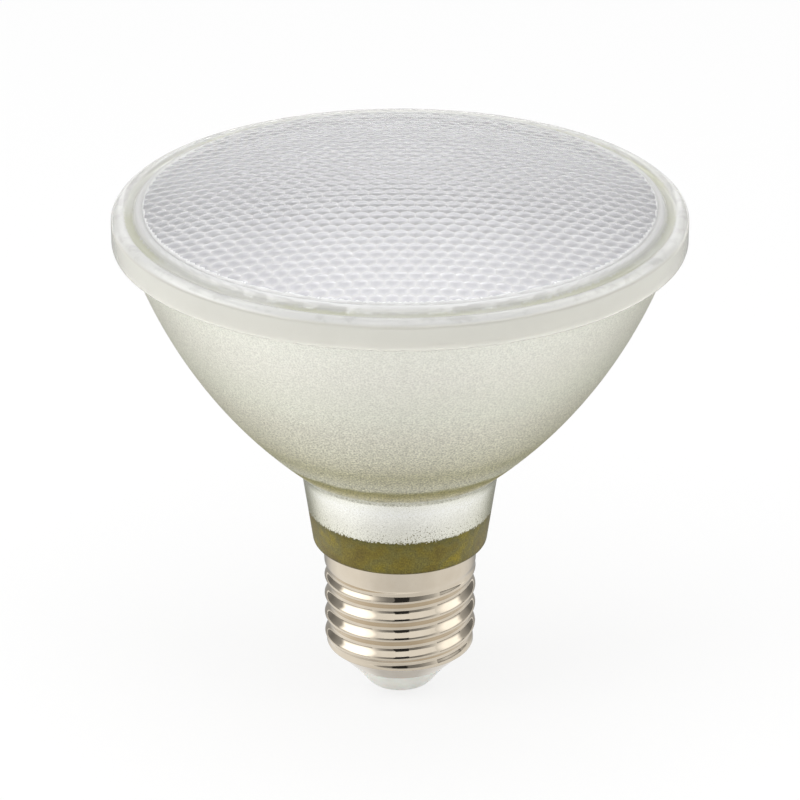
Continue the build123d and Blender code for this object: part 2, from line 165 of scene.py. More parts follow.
def shades(tree, factor, stops):
    """Screen colours along a ramp, each with its place on it."""
    return ramp(tree, factor, [(position, tint(*colour)) for position, colour in stops])


def spread(tree, value, start, end, low, high):
    """A value that runs from start to end, spread from low to high and held at both ends."""
    node = tree.nodes.new("ShaderNodeMapRange")
    for name, number in (("From Min", start), ("From Max", end), ("To Min", low), ("To Max", high)):
        node.inputs[name].default_value = number
    tree.links.new(value, node.inputs["Value"])
    return node.outputs["Result"]


def lumps(tree, shader, place, size, detail, stops):
    """Colours the surface in lumps of about that size."""
    factor = grain(tree, place, size, detail)
    tree.links.new(shades(tree, factor, stops), shader.inputs["Base Color"])
    return factor


def worn(tree, shader, factor, smooth, dull):
    """Roughens the surface from smooth to dull by a pattern."""
    tree.links.new(spread(tree, factor, 0.3, 0.7, smooth, dull), shader.inputs["Roughness"])


def relief(tree, shader, height, depth):
    """Raises the surface by a pattern of that depth."""
    bump = tree.nodes.new("ShaderNodeBump")
    bump.inputs["Distance"].default_value = depth * MM
    tree.links.new(height, bump.inputs["Height"])
    tree.links.new(bump.outputs["Normal"], shader.inputs["Normal"])


low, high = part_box("centre_contact")
contact_radius = high[0] / MM
contact_top = high[2] / MM
rivet_brass, tree, shader, place = new_finish("rivet_brass", {"Metallic": 1.0})
stain = lumps(tree, shader, place, 0.9, 4.0, RIVET_TINTS)
worn(tree, shader, stain, 0.22, 0.42)
relief(tree, shader, grain(tree, place, 0.25), 0.02)
contact_outline = [
    (0, DIMPLE_DEPTH, 0),
    (DIMPLE_FLOOR_RADIUS, DIMPLE_DEPTH, DIMPLE_ROUNDING),
    (DIMPLE_RADIUS, 0, DIMPLE_ROUNDING),
    (contact_radius, 0, RIVET_HEAD_ROUNDING),
    (contact_radius, RIVET_HEAD_THICKNESS, 0),
    (RIVET_SHANK_RADIUS, RIVET_HEAD_THICKNESS, 0),
    (RIVET_SHANK_RADIUS, contact_top, 0),
    (0, contact_top, 0),
]
make_piece(
    turned(contact_outline, RIVET_STEPS), "contact_rivet", "centre_contact", "contact_brass", rivet_brass
)


# Cap insulator: an off-white moulded frustum that closes the end of the shell.
# The shell's end is curled over its upper edge, and the rivet passes through its middle.
INSULATOR_FOOT_HEIGHT = 0.9
INSULATOR_END_RADIUS = 5.2
INSULATOR_END_ROUNDING = 1.0
INSULATOR_SEAT_RADIUS = 9.1
INSULATOR_SEAT_HEIGHT = 5.75
RIVET_SEAT_HEIGHT = 1.0
RIVET_SEAT_RADIUS = 2.9
RIVET_SEAT_LIP_RADIUS = 3.2
RIVET_SEAT_ROUNDING = 0.1
INSULATOR_TINTS = [(0.3, (220, 220, 213)), (0.75, (232, 231, 225))]

low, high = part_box("cap_insulator")
insulator_top = high[2] / MM
insulator_white, tree, shader, place = new_finish(
    "insulator_white", {"Roughness": 0.32, "Subsurface Weight": 0.15, "Subsurface Scale": 0.002}
)
lumps(tree, shader, place, 2.2, 3.0, INSULATOR_TINTS)
relief(tree, shader, grain(tree, place, 0.5), 0.015)
insulator_outline = [
    (0, RIVET_SEAT_HEIGHT, 0),
    (RIVET_SEAT_RADIUS, RIVET_SEAT_HEIGHT, 0),
    (RIVET_SEAT_LIP_RADIUS, INSULATOR_FOOT_HEIGHT, RIVET_SEAT_ROUNDING),
    (INSULATOR_END_RADIUS, INSULATOR_FOOT_HEIGHT, INSULATOR_END_ROUNDING),
    (INSULATOR_SEAT_RADIUS, INSULATOR_SEAT_HEIGHT, 0),
    (INSULATOR_SEAT_RADIUS, insulator_top, 0),
    (0, insulator_top, 0),
]
make_piece(
    turned(insulator_outline), "insulator_moulding", "cap_insulator", "insulator_white", insulator_white
)


# Screw shell: brass sheet drawn into a cup, rolled into a round right-hand thread and nickel plated.
# Its narrow end grips the insulator, and its plain collar goes up into the glass neck.
THREAD_PITCH = 3.629
THREAD_DEPTH = 1.0
THREAD_VALLEY_POWER = 0.8
THREAD_START_HEIGHT = 9.54
THREAD_START_ANGLE = math.radians(72)
THREAD_FADE_IN = (9.3, 11.2)
THREAD_FADE_OUT = (22.4, 25.0)
THREAD_ROW_HEIGHT = 0.16
THREAD_LOW_ROW = 9.08
THREAD_HIGH_ROW = 25.9
THREAD_FOOT_RADIUS = 12.75
THREAD_FOOT_RISE = (9.4, 11.0)
THREAD_MARGIN = 0.1
SHELL_SHEET = 0.35
SHELL_END_RADIUS = 9.2
SHELL_END_ROUNDING = 0.15
SHELL_CURL_HEIGHT = 0.5
SHELL_SHOULDER = (12.45, 8.95, 0.6)
SHELL_CREST_RADIUS = 13.1
SHELL_BORE = 11.75
SHELL_BORE_FOOT = 9.8
SHELL_INSERT_RADIUS = 12.9
COLLAR_RISE = (24, 25.7)
COLLAR_TOP = 28.6
COLLAR_STEP = 0.2
COLLAR_ROUNDING = 0.1
SHELL_STEPS = 192
NICKEL_TINTS = [(0.3, (222, 211, 193)), (0.75, (214, 202, 183))]

low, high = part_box("screw_shell")
shell_bottom = low[2] / MM
shell_top = high[2] / MM
collar_radius = high[0] / MM


def eased(value, start, end):
    """0 before start and 1 after end, with a smooth rise between them."""
    share = min(1.0, max(0.0, (value - start) / (end - start)))
    return share * share * (3 - 2 * share)


shell_outline = [
    (SHELL_END_RADIUS - SHELL_SHEET, shell_bottom + SHELL_CURL_HEIGHT, 0),
    (SHELL_END_RADIUS - SHELL_SHEET, shell_bottom, 0),
    (SHELL_END_RADIUS, shell_bottom, SHELL_END_ROUNDING),
    SHELL_SHOULDER,
]
rows = round((THREAD_HIGH_ROW - THREAD_LOW_ROW) / THREAD_ROW_HEIGHT)
for row in range(rows + 1):
    height = THREAD_LOW_ROW + row * THREAD_ROW_HEIGHT
    radius = THREAD_FOOT_RADIUS
    radius += (SHELL_CREST_RADIUS - THREAD_FOOT_RADIUS) * eased(height, *THREAD_FOOT_RISE)
    radius += (collar_radius - SHELL_CREST_RADIUS) * eased(height, *COLLAR_RISE)
    shell_outline.append((radius, height, 0))
shell_outline += [
    (collar_radius, COLLAR_TOP, COLLAR_ROUNDING),
    (SHELL_INSERT_RADIUS, COLLAR_TOP + COLLAR_STEP, 0),
    (SHELL_INSERT_RADIUS, shell_top, 0),
    (SHELL_BORE, shell_top, 0),
    (SHELL_BORE, SHELL_BORE_FOOT, 0),
]
bm = turned(shell_outline, SHELL_STEPS, closed=True)
for vert in bm.verts:
    height = vert.co.z / MM
    radius = math.hypot(vert.co.x, vert.co.y) / MM
    on_thread = THREAD_LOW_ROW - THREAD_MARGIN < height < THREAD_HIGH_ROW + THREAD_MARGIN
    if on_thread and radius > SHELL_BORE + THREAD_MARGIN:
        turn = (math.atan2(vert.co.y, vert.co.x) - THREAD_START_ANGLE) / math.tau
        phase = (height - THREAD_START_HEIGHT) / THREAD_PITCH - turn
        valley = (0.5 - 0.5 * math.cos(math.tau * phase)) ** THREAD_VALLEY_POWER
        window = eased(height, *THREAD_FADE_IN) * (1 - eased(height, *THREAD_FADE_OUT))
        share = 1 - THREAD_DEPTH * valley * window / radius
        vert.co.x *= share
        vert.co.y *= share
cap_nickel, tree, shader, place = new_finish("cap_nickel", {"Metallic": 1.0})
lumps(tree, shader, place, 3.0, 3.0, NICKEL_TINTS)
worn(tree, shader, grain(tree, place, 1.2, 4.0), 0.04, 0.09)
relief(tree, shader, grain(tree, place, 2.5, 1.0), 0.02)
make_piece(bm, "rolled_shell", "screw_shell", "cap_nickel", cap_nickel)


# Basing cement: olive-brown paste, set hard between the neck's bore and the shell's upper end.
# It shows only as the dark band through the neck's glass, and as a thin ring under its end.
CEMENT_TINTS = [(0.3, (92, 82, 40)), (0.55, (122, 113, 62)), (0.75, (138, 130, 84))]

cement_olive, tree, shader, place = new_finish("cement_olive", {"Roughness": 0.75})
lumps(tree, shader, place, 1.6, 6.0, CEMENT_TINTS)
relief(tree, shader, grain(tree, place, 0.4, 4.0), 0.1)


def dress_node(node, finish):
    """Gives a node of the frame a finish in place of its plain one."""
    for material_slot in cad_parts[node].material_slots:
        material_slot.material = finish


dress_node("basing_cement", cement_olive)


# Driver: a board of small parts in a plastic sleeve inside the cap, with four leads.
# It changes mains to the light board's current, and nothing of it shows from outside.
def plain_finish(name, dark, light, lump, roughness, depth=0.02, metallic=0.0):
    """A finish of two close colours in lumps of that size, with a fine relief."""
    finish, tree, shader, place = new_finish(name, {"Roughness": roughness, "Metallic": metallic})
    lumps(tree, shader, place, lump, 4.0, [(0.3, dark), (0.72, light)])
    relief(tree, shader, grain(tree, place, lump / 6), depth)
    return finish


chip_black = plain_finish("chip_black", (26, 26, 27), (38, 38, 39), 0.8, 0.6)
white_insulation = plain_finish("white_insulation", (226, 224, 216), (238, 237, 232), 1.5, 0.5)
driver_finishes = {
    "driver_sleeve": plain_finish("sleeve_white", (222, 221, 214), (234, 233, 228), 3.0, 0.5),
    "driver_board": plain_finish("board_green", (38, 92, 54), (54, 118, 70), 1.2, 0.45),
    "smoothing_capacitor": plain_finish("capacitor_sleeve", (40, 46, 60), (56, 63, 80), 2.0, 0.35),
    "driver_inductor": plain_finish("inductor_lacquer", (58, 46, 40), (86, 62, 46), 0.5, 0.4, 0.08),
    "input_capacitor": plain_finish("film_case", (184, 158, 40), (206, 180, 58), 2.0, 0.3),
    "bridge_rectifier": chip_black,
    "driver_ic": chip_black,
    "fuse_resistor": plain_finish("fuse_coat", (128, 156, 132), (150, 176, 152), 0.8, 0.5),
    "led_lead_positive": plain_finish("red_insulation", (166, 34, 34), (188, 48, 46), 1.5, 0.5),
    "led_lead_negative": plain_finish("black_insulation", (30, 30, 32), (44, 44, 46), 1.5, 0.5),
    "shell_lead": white_insulation,
    "contact_lead": white_insulation,
}
for node, finish in driver_finishes.items():
    dress_node(node, finish)


# Light source: nine packages on a round white board, screwed to a spun aluminium heat spreader.
# The spreader's flange rests on the bowl's wall, and all of it lies in the reflector's focus.
spun_aluminium = plain_finish(
    "spun_aluminium", (196, 196, 198), (214, 214, 216), 1.0, 0.38, depth=0.03, metallic=1.0
)
screw_zinc = plain_finish("screw_zinc", (176, 176, 176), (198, 198, 200), 0.6, 0.3, metallic=1.0)
dress_node("heat_spreader", spun_aluminium)
dress_node("led_board", plain_finish("board_white", (228, 228, 226), (240, 240, 238), 2.0, 0.4))
dress_node("led_chips", plain_finish("phosphor_yellow", (230, 206, 128), (240, 220, 150), 0.5, 0.5))
dress_node("board_screws", screw_zinc)


# Glass reflector: a bowl and neck pressed in one piece, silvered inside and left satin outside.
# The coat stops in the neck with a ragged edge, above the cement, and the rim is a plain flange.
BOWL_ARC_RADIUS = 88.7
BOWL_ARC_CENTRE = (-39.1, 111.457)
BOWL_ARC_STEPS = 48
BOWL_WALL = 2.6
BOWL_MIRROR_DEPTH = 1.0
BOWL_STEPS = 192
INNER_FOOT = 45.3
FLANGE_BOTTOM = 84.8
FLANGE_INNER_RADIUS = 43.9
FLANGE_BOTTOM_ROUNDING = 0.3
FLANGE_TOP_ROUNDING = 0.5
FLANGE_MARGIN = 0.2
NECK_TOP = 42.75
NECK_TOP_RADIUS = 17.0
NECK_TOP_MARGIN = 0.3
NECK_FILLET = 1.6
NECK_END_RADIUS = 14.95
NECK_END_ROUNDING = 0.6
NECK_BORE = 13.55
NECK_BORE_ROUNDING = 0.5
NECK_BORE_FLARE = 0.15
NECK_BORE_MARGIN = 0.1
COAT_EDGE = 35.2
COAT_EDGE_SOFTNESS = 0.1
COAT_SPECK_REACH = 4.5
# The bowl's colours by height: a pale olive-grey that grows darker towards the neck, partly the glass's own
# tint and partly painted shade, with a painted dark band a few millimetres above the neck and a painted
# highlight ring on the fillet below it.
BOWL_TONE_AND_PAINTED_SHADE = [
    (0.0, (226, 226, 214)),
    (0.015, (236, 235, 222)),
    (0.03, (250, 249, 236)),
    (0.048, (224, 219, 194)),
    (0.06, (232, 226, 198)),
    (0.072, (214, 208, 174)),
    (0.09, (198, 192, 152)),
    (0.11, (188, 182, 140)),
    (0.12, (195, 191, 157)),
    (0.135, (226, 224, 204)),
    (0.155, (226, 224, 206)),
    (0.20, (216, 213, 190)),
    (0.24, (207, 204, 178)),
    (0.30, (219, 216, 196)),
    (0.38, (225, 223, 206)),
    (0.50, (230, 228, 214)),
    (0.62, (236, 236, 223)),
    (0.83, (242, 241, 231)),
    (0.93, (245, 245, 235)),
]
NECK_SILVER_TINTS = [
    (0.0, (234, 233, 220)),
    (0.35, (238, 237, 227)),
    (0.75, (253, 253, 246)),
    (1.0, (250, 250, 241)),
]
OLIVE_TINTS = [
    (0.3, (95, 82, 27)),
    (0.45, (110, 98, 33)),
    (0.55, (104, 97, 46)),
    (0.7, (128, 114, 26)),
]
# Painted shade over the olive band: darker at the neck's end and in a thin line just under the coat's edge.
OLIVE_PAINTED_SHADE = [
    (0.0, (190, 186, 180)),
    (0.12, (246, 246, 240)),
    (0.3, (255, 255, 255)),
    (0.75, (248, 248, 248)),
    (0.95, (222, 226, 222)),
    (1.0, (208, 208, 200)),
]
MIRROR_TINTS = [(0.3, (247, 247, 247)), (0.7, (251, 251, 251))]
FLANGE_TINTS = [(0.3, (236, 235, 228)), (0.7, (243, 242, 237))]

low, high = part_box("glass_reflector")
neck_end = low[2] / MM
flange_top = high[2] / MM
flange_radius = high[0] / MM


def bowl_radius(height, arc_radius):
    """The bowl's radius at a height, on an arc about its centre."""
    across, up = BOWL_ARC_CENTRE
    return across + math.sqrt(arc_radius ** 2 - (height - up) ** 2)


reflector_outline = [
    (NECK_BORE, neck_end, NECK_BORE_ROUNDING),
    (NECK_END_RADIUS, neck_end, NECK_END_ROUNDING),
    (NECK_TOP_RADIUS, NECK_TOP, NECK_FILLET),
]
for step in range(1, BOWL_ARC_STEPS + 1):
    height = NECK_TOP + (FLANGE_BOTTOM - NECK_TOP) * step / BOWL_ARC_STEPS
    if height > NECK_TOP + NECK_FILLET:
        reflector_outline.append((bowl_radius(height, BOWL_ARC_RADIUS), height, 0))
reflector_outline += [
    (flange_radius, FLANGE_BOTTOM, FLANGE_BOTTOM_ROUNDING),
    (flange_radius, flange_top, FLANGE_TOP_ROUNDING),
]
for step in range(BOWL_ARC_STEPS + 1):
    height = flange_top + (INNER_FOOT - flange_top) * step / BOWL_ARC_STEPS
    reflector_outline.append((bowl_radius(height, BOWL_ARC_RADIUS - BOWL_WALL), height, 0))
bm = turned(reflector_outline, BOWL_STEPS, closed=True)
SATIN, NECK, MIRROR, FLANGE = range(4)
for face in bm.faces:
    middle = face.calc_center_median()
    height = middle.z / MM
    radius = math.hypot(middle.x, middle.y) / MM
    across, up = BOWL_ARC_CENTRE
    in_wall = math.hypot(radius - across, height - up) - (BOWL_ARC_RADIUS - BOWL_WALL)
    neck_bore = NECK_BORE + (height - neck_end) * NECK_BORE_FLARE + NECK_BORE_MARGIN
    if height > FLANGE_BOTTOM - FLANGE_MARGIN and radius > FLANGE_INNER_RADIUS:
        face.material_index = FLANGE
    elif (height > INNER_FOOT and in_wall < BOWL_MIRROR_DEPTH) or radius < neck_bore:
        face.material_index = MIRROR
    elif height < NECK_TOP + NECK_TOP_MARGIN:
        face.material_index = NECK
    else:
        face.material_index = SATIN


def feed(tree, value, socket):
    """Links a socket to another one, or sets it to a number."""
    if isinstance(value, bpy.types.NodeSocket):
        tree.links.new(value, socket)
    else:
        socket.default_value = value


def worked_out(tree, operation, *values):
    """The result of a sum with values that are sockets or numbers."""
    node = tree.nodes.new("ShaderNodeMath")
    node.operation = operation
    for value, socket in zip(values, node.inputs):
        feed(tree, value, socket)
    return node.outputs["Value"]


def blended(tree, kind, share, first, second):
    """Mixes or multiplies two colours, as far as the share says."""
    node = tree.nodes.new("ShaderNodeMix")
    node.data_type = "RGBA"
    node.blend_type = kind
    feed(tree, share, node.inputs[0])
    feed(tree, first, node.inputs[6])
    feed(tree, second, node.inputs[7])
    return node.outputs[2]


def swayed_height(tree, place, lump, sway):
    """The height on the bulb, moved up and down by noise in lumps of that size."""
    split = tree.nodes.new("ShaderNodeSeparateXYZ")
    tree.links.new(place, split.inputs["Vector"])
    move = spread(tree, grain(tree, place, lump, 3.0), 0.2, 0.8, -sway * MM, sway * MM)
    return worked_out(tree, "ADD", split.outputs["Z"], move)


def sparkled(tree, place, colour, size, depth):
    """The colour with a fine grain, darker and lighter by the share that depth gives."""
    fleck = spread(tree, grain(tree, place, size, 1.0), 0.3, 0.7, -1.0, 1.0)
    scaled = tree.nodes.new("ShaderNodeVectorMath")
    scaled.operation = "SCALE"
    tree.links.new(colour, scaled.inputs[0])
    tree.links.new(worked_out(tree, "MULTIPLY_ADD", fleck, depth, 1.0), scaled.inputs["Scale"])
    return scaled.outputs["Vector"]


satin_bowl, tree, shader, place = new_finish(
    "satin_bowl", {"Metallic": 0.8, "Roughness": 0.42, "Specular Tint": tint(94, 93, 58)}
)
level = spread(tree, swayed_height(tree, place, 3.0, 0.4), NECK_TOP * MM, FLANGE_BOTTOM * MM, 0.0, 1.0)
# The bowl's colour by height, its painted shade and painted highlight ring included
bowl_colour_with_painted_shade = shades(tree, level, BOWL_TONE_AND_PAINTED_SHADE)
sparkle_depth = spread(tree, level, 0.2, 0.7, 0.40, 0.11)
tree.links.new(sparkled(tree, place, bowl_colour_with_painted_shade, 0.3, sparkle_depth), shader.inputs["Base Color"])
relief(tree, shader, grain(tree, place, 0.33, 2.0), 0.16)

neck_glass, tree, shader, place = new_finish(
    "neck_glass",
    {
        "Coat Weight": 0.25,
        "Coat Roughness": 0.03,
        "Specular IOR Level": 0.2,
        "Specular Tint": tint(212, 212, 194),
    },
)
edge_height = swayed_height(tree, place, 0.3, 0.5)
coated = spread(
    tree, edge_height, (COAT_EDGE - COAT_EDGE_SOFTNESS) * MM, (COAT_EDGE + COAT_EDGE_SOFTNESS) * MM, 0.0, 1.0
)
speck_limit = worked_out(
    tree,
    "ADD",
    spread(tree, edge_height, COAT_EDGE * MM, (COAT_EDGE + COAT_SPECK_REACH) * MM, 0.6, 0.75),
    spread(tree, grain(tree, place, 6.0, 1.0), 0.35, 0.65, 0.06, -0.02),
)
speck = worked_out(tree, "GREATER_THAN", grain(tree, place, 0.22, 1.0), speck_limit)
whole_coat = worked_out(tree, "SUBTRACT", coated, speck)
whole_coat.node.use_clamp = True
olive_level = spread(tree, edge_height, neck_end * MM, COAT_EDGE * MM, 0.0, 1.0)
# The olive band, multiplied by its painted shade
olive = blended(
    tree,
    "MULTIPLY",
    1.0,
    shades(tree, grain(tree, place, 4.5, 3.0), OLIVE_TINTS),
    shades(tree, olive_level, OLIVE_PAINTED_SHADE),
)
silver_level = spread(tree, swayed_height(tree, place, 3.0, 0.6), COAT_EDGE * MM, NECK_TOP * MM, 0.0, 1.0)
neck_colour = blended(tree, "MIX", whole_coat, olive, shades(tree, silver_level, NECK_SILVER_TINTS))
sparkle_depth = spread(tree, whole_coat, 0.0, 1.0, 0.3, 0.08)
tree.links.new(sparkled(tree, place, neck_colour, 0.25, sparkle_depth), shader.inputs["Base Color"])
tree.links.new(whole_coat, shader.inputs["Metallic"])
tree.links.new(spread(tree, whole_coat, 0.0, 1.0, 0.5, 0.22), shader.inputs["Roughness"])
relief(tree, shader, grain(tree, place, 0.4, 3.0), 0.04)

mirror_coat, tree, shader, place = new_finish("mirror_coat", {"Metallic": 1.0})
lumps(tree, shader, place, 5.0, 3.0, MIRROR_TINTS)
worn(tree, shader, grain(tree, place, 2.0), 0.04, 0.12)

flange_glass, tree, shader, place = new_finish("flange_glass", {"Roughness": 0.35})
lumps(tree, shader, place, 3.0, 3.0, FLANGE_TINTS)
relief(tree, shader, grain(tree, place, 0.5), 0.03)
make_piece(
    bm,
    "silvered_reflector",
    "glass_reflector",
    "reflector_glass",
    satin_bowl,
    neck_glass,
    mirror_coat,
    flange_glass,
)


# Rim adhesive: a thin bead of clear glue laid on the flange by hand before the lens goes on.
# It has spread to a ragged edge, and shows olive through the groove in the lens.
GLUE_FOOT_RADIUS = 44.1
GLUE_TOP_RADII = (44.5, 45.7)
GLUE_MIDDLE_RADIUS = 45
GLUE_GAP = 0.02
GLUE_INSET = 0.1
GLUE_ROUNDING = 0.1
GLUE_RAGGEDNESS = 0.35
GLUE_STEPS = 360
GLUE_TINTS = [(0.3, (146, 148, 104)), (0.7, (182, 182, 146))]

low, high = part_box("rim_adhesive")
glue_bottom = low[2] / MM + GLUE_GAP
glue_top = high[2] / MM - GLUE_GAP
glue_outline = [
    (GLUE_FOOT_RADIUS, glue_bottom, 0),
    (GLUE_TOP_RADII[0], glue_top, GLUE_ROUNDING),
    (GLUE_TOP_RADII[1], glue_top, GLUE_ROUNDING),
    (high[0] / MM - GLUE_INSET, glue_bottom, 0),
]
bm = turned(glue_outline, GLUE_STEPS, closed=True)
draw = random.Random(7)
teeth = {}
for vert in bm.verts:
    radius = math.hypot(vert.co.x, vert.co.y)
    tooth = round(math.degrees(math.atan2(vert.co.y, vert.co.x)))
    inside = radius < GLUE_MIDDLE_RADIUS * MM
    pull = teeth.setdefault((tooth, inside), draw.uniform(0, GLUE_RAGGEDNESS))
    share = 1 + (pull if inside else -pull) * MM / radius
    vert.co.x *= share
    vert.co.y *= share
glue_clear, tree, shader, place = new_finish("glue_clear", {"Roughness": 0.2})
lumps(tree, shader, place, 4.0, 4.0, GLUE_TINTS)
relief(tree, shader, grain(tree, place, 0.6), 0.05)
make_piece(bm, "glue_ring", "rim_adhesive", "clear_adhesive", glue_clear)


# Front lens: clear pressed glass, a shallow dome of small six-sided pillows that spread the beam.
# A bead and a groove run round the pillows, and the skirt goes down over the reflector's flange.
# The glass has a milky share, because clear glass over the mirrored bowl would come out dark.
PILLOW_PITCH = 2.52
PILLOW_DROP = 0.135
PILLOW_CUTS = 2
PATTERN_RADIUS = 42.65
PATTERN_EDGE_HEIGHT = 90.8
PATTERN_MARGIN = 0.2
LENS_WALL = 2.5
RIM_CUTS = 180
CORNER_MERGE = 0.02
RIM_MERGE = 0.01
CUT_TOLERANCE = 0.0001
SEAM_STRETCH = 0.0003
SEAM_STEP = (0.003, 0.002)
BEAD_FOOT_RADIUS = 44.2
BEAD_FOOT_HEIGHT = 89.5
# Rings of the lens's section, each a radius and a height, from the pillows out, down and back inside
BEAD = [
    (42.65, 90.3), (42.85, 90.42), (43.1, 90.49), (43.4, 90.5), (43.7, 90.42), (43.95, 90.2), (44.15, 89.85),
]
GROOVE = [(44.35, 89.52), (44.6, 89.33), (45.0, 89.25), (45.4, 89.33), (45.65, 89.48), (45.85, 89.62)]
SHOULDER = [
    (46.2, 89.75), (46.65, 89.8), (47.0, 89.75), (47.35, 89.6), (47.6, 89.36), (47.8, 89.05), (47.92, 88.75),
]
SKIRT = [
    (47.95, 88.4), (47.95, 86.6), (47.95, 85.15), (47.88, 84.9), (47.7, 84.75), (47.45, 84.7), (46.85, 84.7),
]
INSIDE = [
    (46.62, 84.78), (46.55, 85.0), (46.55, 88.0), (46.45, 88.23), (46.2, 88.3), (44.0, 88.3), (42.3, 88.3),
]
UNDERSIDE_RADII = (41.5, 38, 33, 28, 23, 18, 13, 8, 3)
# The pillows' faint lavender tone, with painted shade in their middles and a painted white highlight along
# their borders.
PILLOW_PAINTED_NET = [
    (0.0, (227, 227, 231)),
    (0.5, (235, 235, 239)),
    (0.78, (248, 248, 250)),
    (0.92, (255, 255, 255)),
]
UNDERSIDE_TINTS = [(0.3, (252, 251, 254)), (0.7, (255, 255, 255))]
# Tints of the rim by the number of the ring. The bead has painted light along its inner edge by the
# pillows, the shoulder's outer edge a painted dark line, and the skirt a painted warm tone of the
# bowl seen through it.
BEAD_TONE_AND_PAINTED_SHADE = [
    (0, (252, 252, 252)),
    (0.9, (244, 244, 243)),
    (1.6, (230, 230, 229)),
    (5, (231, 231, 230)),
    (7, (226, 226, 220)),
]
RIM_TONE_AND_PAINTED_SHADE = [
    (0, (234, 233, 230)),
    (1.2, (248, 248, 245)),
    (2.5, (253, 253, 251)),
    (5, (254, 254, 252)),
    (7, (246, 246, 241)),
    (13, (254, 254, 252)),
    (15, (255, 255, 254)),
    (18.4, (254, 254, 252)),
    (19.6, (238, 236, 228)),
    (20.4, (248, 247, 239)),
    (22, (249, 248, 240)),
    (25, (248, 247, 238)),
    (27, (252, 251, 246)),
    (34, (251, 251, 247)),
]
GROOVE_GLUE_TINTS = [
    (7.2, (255, 255, 255)),
    (8.5, (243, 244, 227)),
    (11.8, (239, 240, 221)),
    (13, (255, 255, 255)),
]
SHOULDER_SMEAR_TINTS = [
    (13.2, (255, 255, 255)),
    (14.2, (234, 234, 236)),
    (17.4, (232, 232, 230)),
    (18.6, (255, 255, 255)),
]

low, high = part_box("front_lens")
lens_top = high[2] / MM
dome_rise = lens_top - PATTERN_EDGE_HEIGHT
dome_radius = (PATTERN_RADIUS ** 2 + dome_rise ** 2) / (2 * dome_rise)
dome_centre = lens_top - dome_radius
row_pitch = PILLOW_PITCH * math.sqrt(3) / 2
corner_radius = PILLOW_PITCH / math.sqrt(3)


def pillow_centre(x, y):
    """The middle of the pillow that a point of the pattern is on."""
    row = round(y / row_pitch)
    found = []
    for near_row in (row - 1, row, row + 1):
        shift = PILLOW_PITCH / 2 if near_row % 2 else 0
        column = round((x - shift) / PILLOW_PITCH)
        found.append((column * PILLOW_PITCH + shift, near_row * row_pitch))
    return min(found, key=lambda centre: (centre[0] - x) ** 2 + (centre[1] - y) ** 2)


bm = bmesh.new()
row_count = math.ceil(PATTERN_RADIUS / row_pitch) + 1
column_count = math.ceil(PATTERN_RADIUS / PILLOW_PITCH) + 1
for row in range(-row_count, row_count + 1):
    for column in range(-column_count, column_count + 1):
        x = column * PILLOW_PITCH + (PILLOW_PITCH / 2 if row % 2 else 0)
        y = row * row_pitch
        if math.hypot(x, y) < PATTERN_RADIUS + corner_radius:
            bmesh.ops.create_circle(
                bm,
                cap_ends=True,
                cap_tris=True,
                segments=6,
                radius=corner_radius * MM,
                matrix=Matrix.Translation((x * MM, y * MM, 0)),
            )
bmesh.ops.remove_doubles(bm, verts=bm.verts[:], dist=CORNER_MERGE * MM)
bmesh.ops.subdivide_edges(bm, edges=bm.edges[:], cuts=PILLOW_CUTS, use_grid_fill=True)
for cut in range(RIM_CUTS):
    angle = math.tau * cut / RIM_CUTS
    outward = (math.cos(angle), math.sin(angle), 0)
    bmesh.ops.bisect_plane(
        bm,
        geom=bm.verts[:] + bm.edges[:] + bm.faces[:],
        dist=CUT_TOLERANCE * MM,
        plane_co=[share * PATTERN_RADIUS * MM for share in outward],
        plane_no=outward,
        clear_outer=True,
    )
bmesh.ops.remove_doubles(bm, verts=bm.verts[:], dist=RIM_MERGE * MM)

# Each point keeps how near it is to its pillow's border, and how far along the section its ring is
border_share = bm.verts.layers.float.new("border_share")
section_share = bm.verts.layers.float.new("section_share")
for vert in bm.verts:
    x = vert.co.x / MM
    y = vert.co.y / MM
    centre = pillow_centre(x, y)
    off_centre = ((x - centre[0]) ** 2 + (y - centre[1]) ** 2) / (PILLOW_PITCH / 2) ** 2
    dome = dome_centre + math.sqrt(dome_radius ** 2 - x * x - y * y)
    vert.co.z = (dome - PILLOW_DROP * off_centre) * MM
    vert[border_share] = max(
        abs((x - centre[0]) * math.cos(side) + (y - centre[1]) * math.sin(side)) / (PILLOW_PITCH / 2)
        for side in (0, math.pi / 3, 2 * math.pi / 3)
    )

# An edge between two pillows stays sharp: a step to either side of its middle finds both
for edge in bm.edges:
    first, second = (vert.co / MM for vert in edge.verts)
    middle = (first + second) / 2
    found = {
        pillow_centre(
            middle.x * (1 + side * SEAM_STRETCH) + side * SEAM_STEP[0], middle.y + side * SEAM_STEP[1]
        )
        for side in (1, -1)
    }
    edge.smooth = len(found) == 1

lens_rings = BEAD + GROOVE + SHOULDER + SKIRT + INSIDE
for radius in UNDERSIDE_RADII:
    lens_rings.append((radius, dome_centre + math.sqrt((dome_radius - LENS_WALL) ** 2 - radius ** 2)))
for number, (radius, height) in enumerate(lens_rings, 1):
    ring = [edge for edge in bm.edges if edge.is_boundary]
    grown = bmesh.ops.extrude_edge_only(bm, edges=ring)["geom"]
    for vert in grown:
        if isinstance(vert, bmesh.types.BMVert):
            angle = math.atan2(vert.co.y, vert.co.x)
            vert.co = (radius * MM * math.cos(angle), radius * MM * math.sin(angle), height * MM)
            vert[section_share] = number / len(lens_rings)
last_ring = list({vert for edge in bm.edges if edge.is_boundary for vert in edge.verts})
bmesh.ops.pointmerge(bm, verts=last_ring, merge_co=(0, 0, (lens_top - LENS_WALL) * MM))
bmesh.ops.recalc_face_normals(bm, faces=bm.faces[:])

